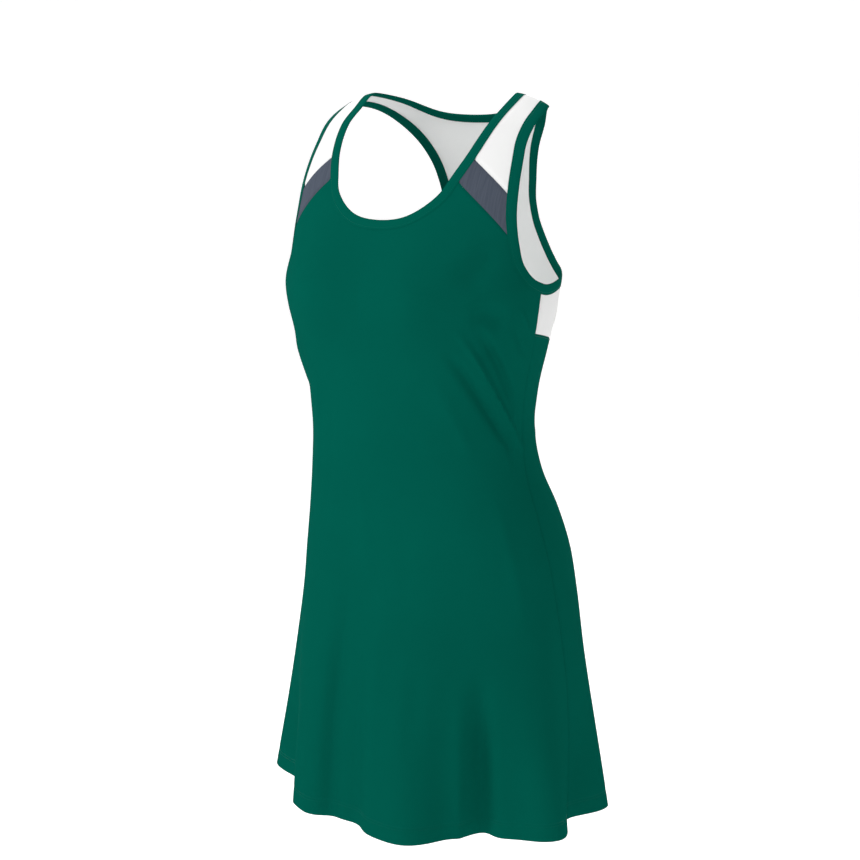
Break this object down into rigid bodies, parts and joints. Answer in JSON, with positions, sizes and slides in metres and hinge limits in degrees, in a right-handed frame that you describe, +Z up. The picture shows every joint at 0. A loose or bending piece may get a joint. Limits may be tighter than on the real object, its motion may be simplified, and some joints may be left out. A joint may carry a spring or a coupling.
{
  "type": "tennis dress",
  "caption": "Sleeveless racerback tennis dress with a scoop neck, contrast yokes and a fluted A-line skirt, hollow as when worn.",
  "frame": {"origin": "midway between the two shoulder straps, at the height where the shoulders hold the dress", "axes": "+Z up the dress, front facing -Y, +X towards the wearer's left"},
  "size_m": [0.4295, 0.34, 0.8225],
  "materials": {
    "body_cloth": "matt smooth green stretch knit",
    "yoke_cloth": "matt smooth white stretch knit",
    "insert_cloth": "blue-grey stretch knit with a faint satin sheen",
    "binding_cloth": "folded green knit tape, topstitched"
  },
  "bodies": {
    "root": {"front": "body_cloth", "back": "body_cloth", "back_yoke": "yoke_cloth", "shoulder_left": "yoke_cloth", "shoulder_right": "yoke_cloth", "insert_left": "insert_cloth", "insert_right": "insert_cloth", "neck_binding": "binding_cloth", "armhole_binding_left": "binding_cloth", "armhole_binding_right": "binding_cloth"}
  },
  "joints": []
}
